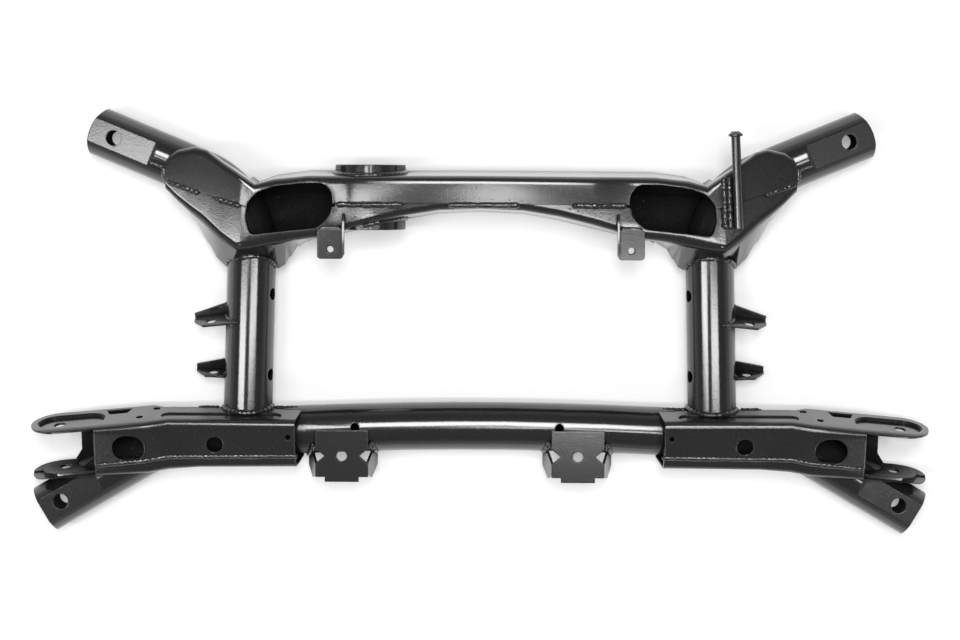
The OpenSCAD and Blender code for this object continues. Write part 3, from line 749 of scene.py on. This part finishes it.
class SUBFRAME_OT_beam_welds(bpy.types.Operator):
    """Weld beads along the lapped seam of the beam and round the bush sleeve."""

    bl_idname = "subframe.beam_welds"
    bl_label = "Weld the Beam"

    def execute(self, context):
        welds = context.scene.subframe_welds
        piece("weld_beam_seam", self.seam(welds), weld_paint())
        piece("weld_bush_sleeve", self.sleeve(welds), weld_paint())
        return {"FINISHED"}

    def seam(self, welds):
        """Beads along the edge of the upper shell, on the lower one."""
        parts = []
        for k, (low, high, share) in enumerate(SEAM_STRETCHES):
            x = np.linspace(low, high, SEAM_POINTS)
            path = np.stack([x, row(SEAM, x) - SEAM_DROP, across(NEAR_FACE, x) - SEAM_SINK], axis=1)
            radius = share * welds.seam_radius
            parts.append(bead(path, radius, welds.pitch, SEEDS["beam_seam"] + k, SEAM_TALL))
        return parts

    def sleeve(self, welds):
        """A ring round the sleeve at the front wall, kept over the floor, and an arc at the lower wall."""
        radius, pitch = welds.tack_radius, welds.pitch
        angles = np.linspace(0, 2 * math.pi, SLEEVE_POINTS, endpoint=False)
        x, z = ring(SLEEVE_X, SLEEVE_Z, SLEEVE_R, angles)
        z = np.maximum(z, SLEEVE_ROOM * radius / MM)
        front = np.stack([x, top_y(x, z) + SLEEVE_PROUD, z], axis=1)
        x, z = ring(SLEEVE_X, SLEEVE_Z, SLEEVE_R, np.radians(np.linspace(*SLEEVE_ARC)))
        rear = np.stack([x, skirt_y(x, z) - SLEEVE_PROUD, z], axis=1)
        return [
            bead(front, radius, pitch, SEEDS["sleeve_front"], up=UP_Y, closed=True),
            bead(rear, radius, pitch, SEEDS["sleeve_rear"], up=UP_Y),
        ]


class SUBFRAME_OT_link_welds(bpy.types.Operator):
    """Weld beads along the seams and tube edges of the link brackets."""

    bl_idname = "subframe.link_welds"
    bl_label = "Weld the Link Brackets"

    def execute(self, context):
        welds = context.scene.subframe_welds
        for word, side in SIDES.items():
            piece("weld_link_bracket_" + word, self.bracket(welds, side), weld_paint())
        return {"FINISHED"}

    def bracket(self, welds, side):
        """The long seam on the web, tacks at the upper edge on the tube, and a bead at the lower edge."""
        x = np.linspace(*LINK_SEAM_RUN)
        seam = link_point(x, across(LINK_SEAM, x) - LINK_SEAM_DROP, across(LINK_WEB, x) - LINK_SEAM_SINK)
        seed = SEEDS["link_seam"] + side
        parts = [bead(mirrored(seam, side), welds.link_radius, welds.pitch, seed, LINK_SEAM_TALL, LINK_UP)]
        for k, run in enumerate(LINK_TACKS):
            x = np.linspace(*run)
            edge = link_point(x, np.full_like(x, LINK_TOP - 0.5 * SHEET), np.full_like(x, LINK_EDGE_Z))
            seed = SEEDS["link_tack"] + k + side
            parts.append(bead(mirrored(edge, side), welds.tack_radius, welds.pitch, seed))
        x = np.linspace(*LINK_FOOT_RUN)
        edge = link_point(x, across(LINK_BOTTOM, x) + 0.5 * SHEET, np.full_like(x, LINK_EDGE_Z))
        seed = SEEDS["link_foot"] + side
        parts.append(bead(mirrored(edge, side), welds.tack_radius, welds.pitch, seed))
        return parts


class SUBFRAME_OT_tube_welds(bpy.types.Operator):
    """Weld beads where the side tubes meet the cross tube, the link brackets and the beam."""

    bl_idname = "subframe.tube_welds"
    bl_label = "Weld the Tubes"

    def execute(self, context):
        welds = context.scene.subframe_welds
        for word, side in SIDES.items():
            parts = [self.rail_foot(welds, side), self.rail_top(welds, side), self.gusset_end(welds, side)]
            piece("weld_side_tube_" + word, parts, weld_paint())
        return {"FINISHED"}

    def rail_foot(self, welds, side):
        """Ring at the rail's foot: on the cross tube below, on the link bracket's plate above, and a smooth
        step 3 t^2 - 2 t^3 from one to the other by height."""
        angles = np.linspace(0, 2 * math.pi, FOOT_POINTS, endpoint=False)
        x, z = ring(rail_x(FOOT_RUN), TUBE_Z, TUBE_R, angles)
        z = np.maximum(z, FOOT_ROOM * welds.tube_radius / MM)
        plate = LINK_PIVOT_Y + (LINK_TOP - (z - TUBE_Z) * math.sin(LEAN)) / math.cos(LEAN)
        square = (TUBE_R + FOOT_SEAT) ** 2 - (z - TUBE_Z) ** 2
        saddle = cross_y(x) + np.sqrt(np.maximum(square, FOOT_LEAST))
        t = np.clip((z - FOOT_BLEND_Z) / FOOT_BLEND_SPAN, 0.0, 1.0)
        share = t * t * (3.0 - 2.0 * t)
        path = np.stack([x, saddle * (1 - share) + plate * share + FOOT_PROUD, z], axis=1)
        seed = SEEDS["rail_foot"] + side
        return bead(mirrored(path, side), welds.tube_radius, welds.pitch, seed, up=UP_Y, closed=True)

    def rail_top(self, welds, side):
        """Arc over the rail where it goes into the beam's skirt."""
        x, z = ring(rail_x(BEAM_RUN), TUBE_Z, TUBE_R, np.radians(np.linspace(*BEAM_ARC)))
        path = np.stack([x, skirt_y(x, z) - BEAM_DROP, z + BEAM_LIFT], axis=1)
        seed = SEEDS["rail_top"] + side
        return bead(mirrored(path, side), BEAM_SHARE * welds.tack_radius, welds.pitch, seed, up=UP_Y)

    def gusset_end(self, welds, side):
        """Bead across the gusset's end, as tall as the step from the tube's circle to the gusset's face."""
        y = np.linspace(*GUSSET_END_ROWS)
        axis_y = BOLT_ROW - (FRONT_BOLT_X - GUSSET_END_X) * math.tan(FRONT_ARM)
        tube = TUBE_Z + np.sqrt(TUBE_R**2 - ((axis_y - y) * math.cos(FRONT_ARM)) ** 2)
        x = np.full_like(y, GUSSET_END_X + GUSSET_END_PROUD)
        path = np.stack([x, y, 0.5 * (GUSSET_END_Z + tube)], axis=1)
        step = 0.5 * (GUSSET_END_Z + GUSSET_END_LIFT - tube) + GUSSET_END_COVER
        tall = step / (welds.seam_radius / MM)
        seed = SEEDS["gusset_end"] + side
        return bead(mirrored(path, side), welds.seam_radius, welds.pitch, seed, tall)


class SUBFRAME_OT_bracket_welds(bpy.types.Operator):
    """Weld beads at the ears, the differential brackets, the beam tabs and the hanger pin."""

    bl_idname = "subframe.bracket_welds"
    bl_label = "Weld the Brackets"

    def execute(self, context):
        welds = context.scene.subframe_welds
        piece("weld_link_ears", self.ears(welds), weld_paint())
        piece("weld_drive_brackets", self.drive_brackets(welds), weld_paint())
        piece("weld_beam_tabs", self.tabs(welds), weld_paint())
        piece("weld_hanger_pin", self.pin(welds), weld_paint())
        return {"FINISHED"}

    def ear_paths(self, k):
        """Where ear k meets the right rail: along its flange, and down both faces of its web."""
        bottom = EAR_BACKS[k] + SHEET
        y = np.linspace(EAR_FLANGE_START, EAR_FLANGE, EAR_FLANGE_POINTS)
        z = np.linspace(bottom, EAR_CREST - SHEET, EAR_WEB_POINTS)
        root = np.full_like(z, EAR_ROOT)
        flange = ear_point(k, np.full_like(y, EAR_ROOT), y, np.full_like(y, bottom))
        webs = [ear_point(k, root, np.full_like(z, face), z) for face in EAR_WEB_FACES]
        return [on_rail(path) for path in (flange, *webs)]

    def ears(self, welds):
        """Beads of the four ears."""
        parts = []
        for side in SIDES.values():
            for k in range(len(EAR_BACKS)):
                for n, path in enumerate(self.ear_paths(k)):
                    seed = SEEDS["ear"] + 8 * k + 2 * n + side
                    parts.append(bead(mirrored(path, side), welds.ear_radius, welds.pitch, seed, up=UP_X))
        return parts

    def drive_brackets(self, welds):
        """Beads over the cross tube, outside the wings of the differential brackets."""
        parts = []
        angles = np.radians(np.linspace(*DRIVE_ARC))
        z = TUBE_Z + TUBE_R * np.sin(angles)
        for k, place in enumerate(DRIVE_PLACES):
            for side in SIDES.values():
                x = place + side * (DRIVE_HALF + (DRIVE_PLATE_Z - z) * WING_FLARE + DRIVE_PROUD)
                y = cross_y(x) + (TUBE_R + DRIVE_LIFT) * np.cos(angles)
                path = np.stack([x, y, z + DRIVE_LIFT], axis=1)
                seed = SEEDS["drive"] + 2 * k + side
                parts.append(bead(path, welds.tack_radius, welds.pitch, seed, up=UP_X))
        return parts

    def tabs(self, welds):
        """A short bead across the upper edge of each beam tab."""
        parts = []
        for side in SIDES.values():
            x = side * (TAB_X + np.linspace(*TAB_BEAD_RUN))
            path = np.stack([x, np.full_like(x, TAB_BEAD_Y), np.full_like(x, TAB_BEAD_Z)], axis=1)
            seed = SEEDS["tab"] + side
            parts.append(bead(path, TAB_SHARE * welds.tack_radius, welds.pitch, seed, TAB_TALL))
        return parts

    def pin(self, welds):
        """Two rows of coarse ripples beside the hanger pin."""
        parts = []
        for k, (offset, end) in enumerate(PIN_BEADS):
            y = np.linspace(PIN_BEAD_START, end, PIN_POINTS)
            x = PIN_FRONT[0] + (PIN_FRONT[1] - y) * PIN_TURN + offset
            path = np.stack([x, y, across(NEAR_FACE, x) + PIN_LIFT], axis=1)
            seed = SEEDS["pin"] + k
            pitch = PIN_PITCH * welds.pitch
            parts.append(bead(path, welds.pin_radius, pitch, seed, PIN_TALL, swell=PIN_SWELL))
        return parts


class SUBFRAME_OT_spatter(bpy.types.Operator):
    """Spatter balls under the paint near the beam seam and the link seams."""

    bl_idname = "subframe.spatter"
    bl_label = "Add Weld Spatter"

    def execute(self, context):
        rng = np.random.default_rng(SEEDS["spatter"])
        parts = []
        for stretch in BEAM_SPATTER:
            parts += self.beam(rng, *stretch)
        for side in SIDES.values():
            parts += self.link(rng, side, *LINK_SPATTER)
        piece("weld_spatter", parts, weld_paint())
        return {"FINISHED"}

    def beam(self, rng, low, high, count):
        """Balls on both shells of the beam, spread to both sides of the seam."""
        x = rng.uniform(low, high, count)
        seam = row(SEAM, x)
        y = seam + rng.normal(0.0, BEAM_SPREAD, count)
        y = np.clip(y, row(LOW_NEAR, x) + BEAM_SPATTER_EDGES[0], seam + BEAM_SPATTER_EDGES[1])
        z = across(NEAR_FACE, x) - np.where(y < seam, SHEET, 0.0)
        spots = np.stack([x, y, z], axis=1)
        return [ball(p * MM, UP_Z, r * MM) for p, r in zip(spots, rng.uniform(*BEAM_BALLS, count))]

    def link(self, rng, side, low, high, count):
        """Balls on the web of a link bracket, over its seam."""
        x = rng.uniform(low, high, count)
        above = np.abs(rng.normal(0.0, LINK_SPREAD, count)) + LINK_SPATTER_ROWS[0]
        local = np.minimum(across(LINK_SEAM, x) + above, LINK_SPATTER_ROWS[1])
        spots = mirrored(link_point(x, local, across(LINK_WEB, x)), side)
        return [ball(p * MM, LINK_UP, r * MM) for p, r in zip(spots, rng.uniform(*LINK_BALLS, count))]


class SUBFRAME_OT_stage(bpy.types.Operator):
    """Pale floor, softboxes, room light and the camera above the part."""

    bl_idname = "subframe.stage"
    bl_label = "Set the Stage"

    def execute(self, context):
        scene = context.scene
        stage = scene.subframe_stage
        scene.view_settings.view_transform = "Standard"
        self.floor(stage)
        for name, low, high, share in SOFTBOXES:
            self.softbox(name, low, high, share * stage.lamp)
        self.room(scene, stage)
        self.camera(scene)
        return {"FINISHED"}

    def floor(self, stage):
        """Floor sheet under the tubes, lifted a little towards white for the camera and for reflections,
        with the part's shadow."""
        signs = ((-1, -1), (1, -1), (1, 1), (-1, 1))
        corners = [(x * FLOOR_HALF, y * FLOOR_HALF, FLOOR_Z) for x, y in signs]
        mesh = bpy.data.meshes.new("floor")
        mesh.from_pydata(corners, [], [[0, 1, 2, 3]])
        floor = bpy.data.objects.new("floor", mesh)
        bpy.context.scene.collection.objects.link(floor)
        material = bpy.data.materials.new("floor_paper")
        material.use_nodes = True
        tree = material.node_tree
        shader = tree.nodes["Principled BSDF"]
        shader.inputs["Base Color"].default_value = (*stage.floor, 1.0)
        shader.inputs["Roughness"].default_value = FLOOR_ROUGHNESS
        shader.inputs["Emission Color"].default_value = (1.0, 1.0, 1.0, 1.0)
        path = tree.nodes.new("ShaderNodeLightPath")
        seen = path.outputs["Is Camera Ray"]
        for kind in ("Is Glossy Ray", "Is Transmission Ray"):
            either = tree.nodes.new("ShaderNodeMath")
            either.operation = "MAXIMUM"
            tree.links.new(seen, either.inputs[0])
            tree.links.new(path.outputs[kind], either.inputs[1])
            seen = either.outputs[0]
        glow = ranged(tree, seen, (0.0, 1.0), (0.0, FLOOR_GLOW))
        tree.links.new(glow, shader.inputs["Emission Strength"])
        mesh.materials.append(material)

    def softbox(self, name, low, high, level):
        """Rectangular softbox high over the floor, from one corner to the other, facing down.
        A face of brightness L and area A gives the power L * pi * A."""
        light = bpy.data.lights.new(name, "AREA")
        light.shape = "RECTANGLE"
        light.size = high[0] - low[0]
        light.size_y = high[1] - low[1]
        light.energy = level * math.pi * light.size * light.size_y
        obj = bpy.data.objects.new(name, light)
        obj.location = (0.5 * (low[0] + high[0]), 0.5 * (low[1] + high[1]), SOFTBOX_Z)
        bpy.context.scene.collection.objects.link(obj)

    def room(self, scene, stage):
        """Room light: dim from above and paler from the sides, and white where the camera sees it."""
        world = bpy.data.worlds.new("studio")
        world.use_nodes = True
        scene.world = world
        tree = world.node_tree
        background = tree.nodes["Background"]
        background.inputs["Color"].default_value = (1.0, 1.0, 1.0, 1.0)
        split = tree.nodes.new("ShaderNodeSeparateXYZ")
        tree.links.new(tree.nodes.new("ShaderNodeTexCoord").outputs["Generated"], split.inputs["Vector"])
        height = ranged(tree, split.outputs["Z"], (WALL_TOP, CEILING_START), (stage.walls, stage.ceiling))
        path = tree.nodes.new("ShaderNodeLightPath")
        level = tree.nodes.new("ShaderNodeMapRange")
        level.inputs["To Max"].default_value = 1.0
        tree.links.new(path.outputs["Is Camera Ray"], level.inputs["Value"])
        tree.links.new(height, level.inputs["To Min"])
        tree.links.new(level.outputs["Result"], background.inputs["Strength"])

    def camera(self, scene):
        """Camera above the part, leaned a little towards its front and turned a little."""
        data = bpy.data.cameras.new("camera")
        data.sensor_width = SENSOR_WIDTH
        data.lens = SENSOR_WIDTH * (CAMERA_DISTANCE / MM / MM_PER_PX) / PICTURE_WIDTH_PX
        camera = bpy.data.objects.new("camera", data)
        back = Vector((0.0, math.sin(CAMERA_TILT), math.cos(CAMERA_TILT)))
        right = Vector((1.0, 0.0, 0.0))
        up = Vector((0.0, math.cos(CAMERA_TILT), -math.sin(CAMERA_TILT)))
        turned_right = right * math.cos(CAMERA_ROLL) + up * math.sin(CAMERA_ROLL)
        turned_up = up * math.cos(CAMERA_ROLL) - right * math.sin(CAMERA_ROLL)
        place = Vector(CAMERA_AIM) + CAMERA_DISTANCE * back
        rows = [[turned_right[i], turned_up[i], back[i], place[i]] for i in range(3)]
        camera.matrix_world = Matrix(rows + [[0.0, 0.0, 0.0, 1.0]])
        scene.collection.objects.link(camera)
        scene.camera = camera


class SUBFRAME_PT_looks(bpy.types.Panel):
    """Sidebar panel with the subframe's steps and values."""

    bl_idname = "SUBFRAME_PT_looks"
    bl_label = "Subframe Looks"
    bl_space_type = "VIEW_3D"
    bl_region_type = "UI"
    bl_category = "Subframe"

    def draw(self, context):
        for operator in OPERATORS:
            self.layout.operator(operator.bl_idname)
        for group in ("subframe_paint", "subframe_welds", "subframe_stage"):
            values = getattr(context.scene, group)
            for name in values.bl_rna.properties.keys():
                if name not in {"rna_type", "name"}:
                    self.layout.prop(values, name)


OPERATORS = (
    SUBFRAME_OT_paint,
    SUBFRAME_OT_beam_welds,
    SUBFRAME_OT_link_welds,
    SUBFRAME_OT_tube_welds,
    SUBFRAME_OT_bracket_welds,
    SUBFRAME_OT_spatter,
    SUBFRAME_OT_stage,
)
CLASSES = (SubframePaint, SubframeWelds, SubframeStage) + OPERATORS + (SUBFRAME_PT_looks,)


def register():
    """Registers the classes and their values on the scene."""
    for item in CLASSES:
        bpy.utils.register_class(item)
    bpy.types.Scene.subframe_paint = bpy.props.PointerProperty(type=SubframePaint)
    bpy.types.Scene.subframe_welds = bpy.props.PointerProperty(type=SubframeWelds)
    bpy.types.Scene.subframe_stage = bpy.props.PointerProperty(type=SubframeStage)


def unregister():
    """Takes the values and the classes off again."""
    del bpy.types.Scene.subframe_stage
    del bpy.types.Scene.subframe_welds
    del bpy.types.Scene.subframe_paint
    for item in reversed(CLASSES):
        bpy.utils.unregister_class(item)


def main():
    """Runs every step in order."""
    register()
    bpy.ops.subframe.paint()
    bpy.ops.subframe.beam_welds()
    bpy.ops.subframe.link_welds()
    bpy.ops.subframe.tube_welds()
    bpy.ops.subframe.bracket_welds()
    bpy.ops.subframe.spatter()
    bpy.ops.subframe.stage()


if __name__ == "__main__":
    main()
